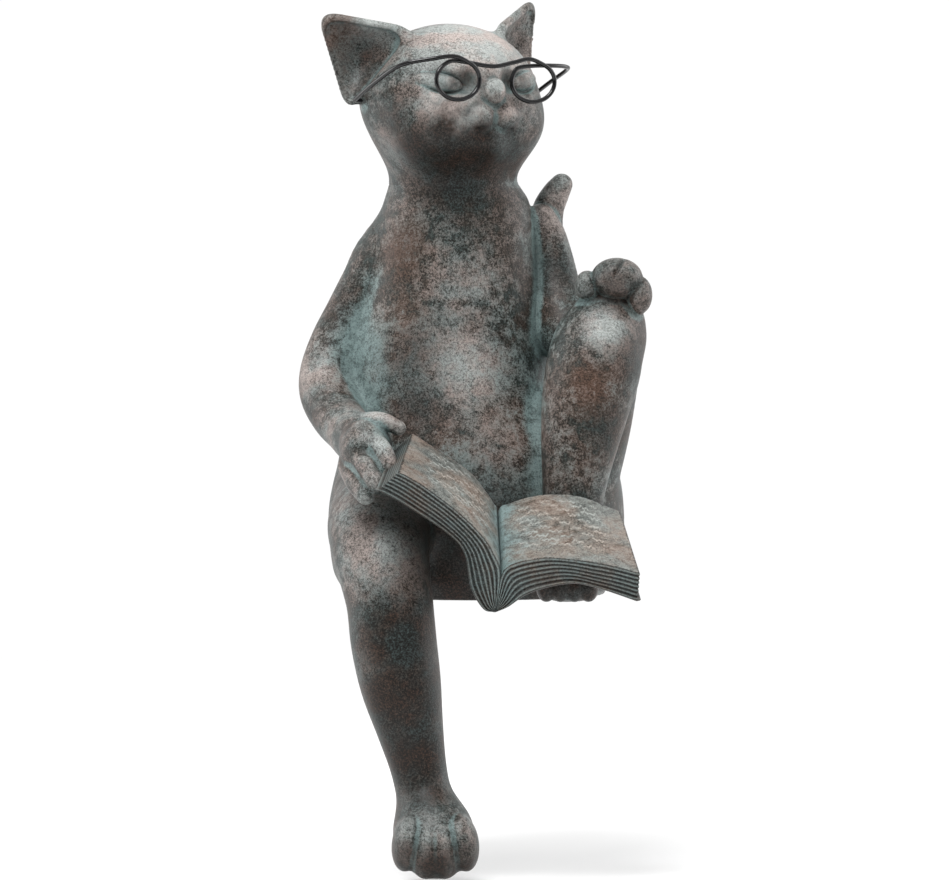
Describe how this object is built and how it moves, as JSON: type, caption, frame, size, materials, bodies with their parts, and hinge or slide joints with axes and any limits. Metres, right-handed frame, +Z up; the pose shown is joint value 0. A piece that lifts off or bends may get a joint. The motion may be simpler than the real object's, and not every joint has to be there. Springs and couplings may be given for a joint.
{
  "type": "shelf sitting cat figurine",
  "caption": "Shelf-edge sitting cat reading an open book, one leg hanging, with wire spectacles that tilt on the head.",
  "frame": {"origin": "on the flat underside of the seat, about under the middle of the body; the hanging leg is below it", "axes": "+Z up, the cat's body faces -Y, +X is towards the cat's left (to the right when looking at its front)"},
  "size_m": [0.1167, 0.1466, 0.2933],
  "materials": {
    "patina": "matte painted dark bronze with verdigris in the creases and worn pinkish-grey highlights",
    "book_patina": "the same painted bronze patina, with teal towards the gutter and worn tan page faces",
    "wire": "satin black lacquered steel wire",
    "felt": "black felt"
  },
  "bodies": {
    "figure": {"torso_shell": "patina", "head_casting": "patina", "right_arm": "patina", "left_arm": "patina", "right_leg": "patina", "left_leg": "patina", "tail": "patina", "book": "book_patina", "seat_pad": "felt"},
    "spectacles": {"spectacles": "wire"}
  },
  "joints": [
    {"name": "spectacles_tilt", "type": "hinge", "parent": "figure", "child": "spectacles", "pos_m": [-0.01112, 0.00739, 0.168], "axis": [-0.848, -0.5299, 0], "range_deg": [-4, 14]}
  ]
}
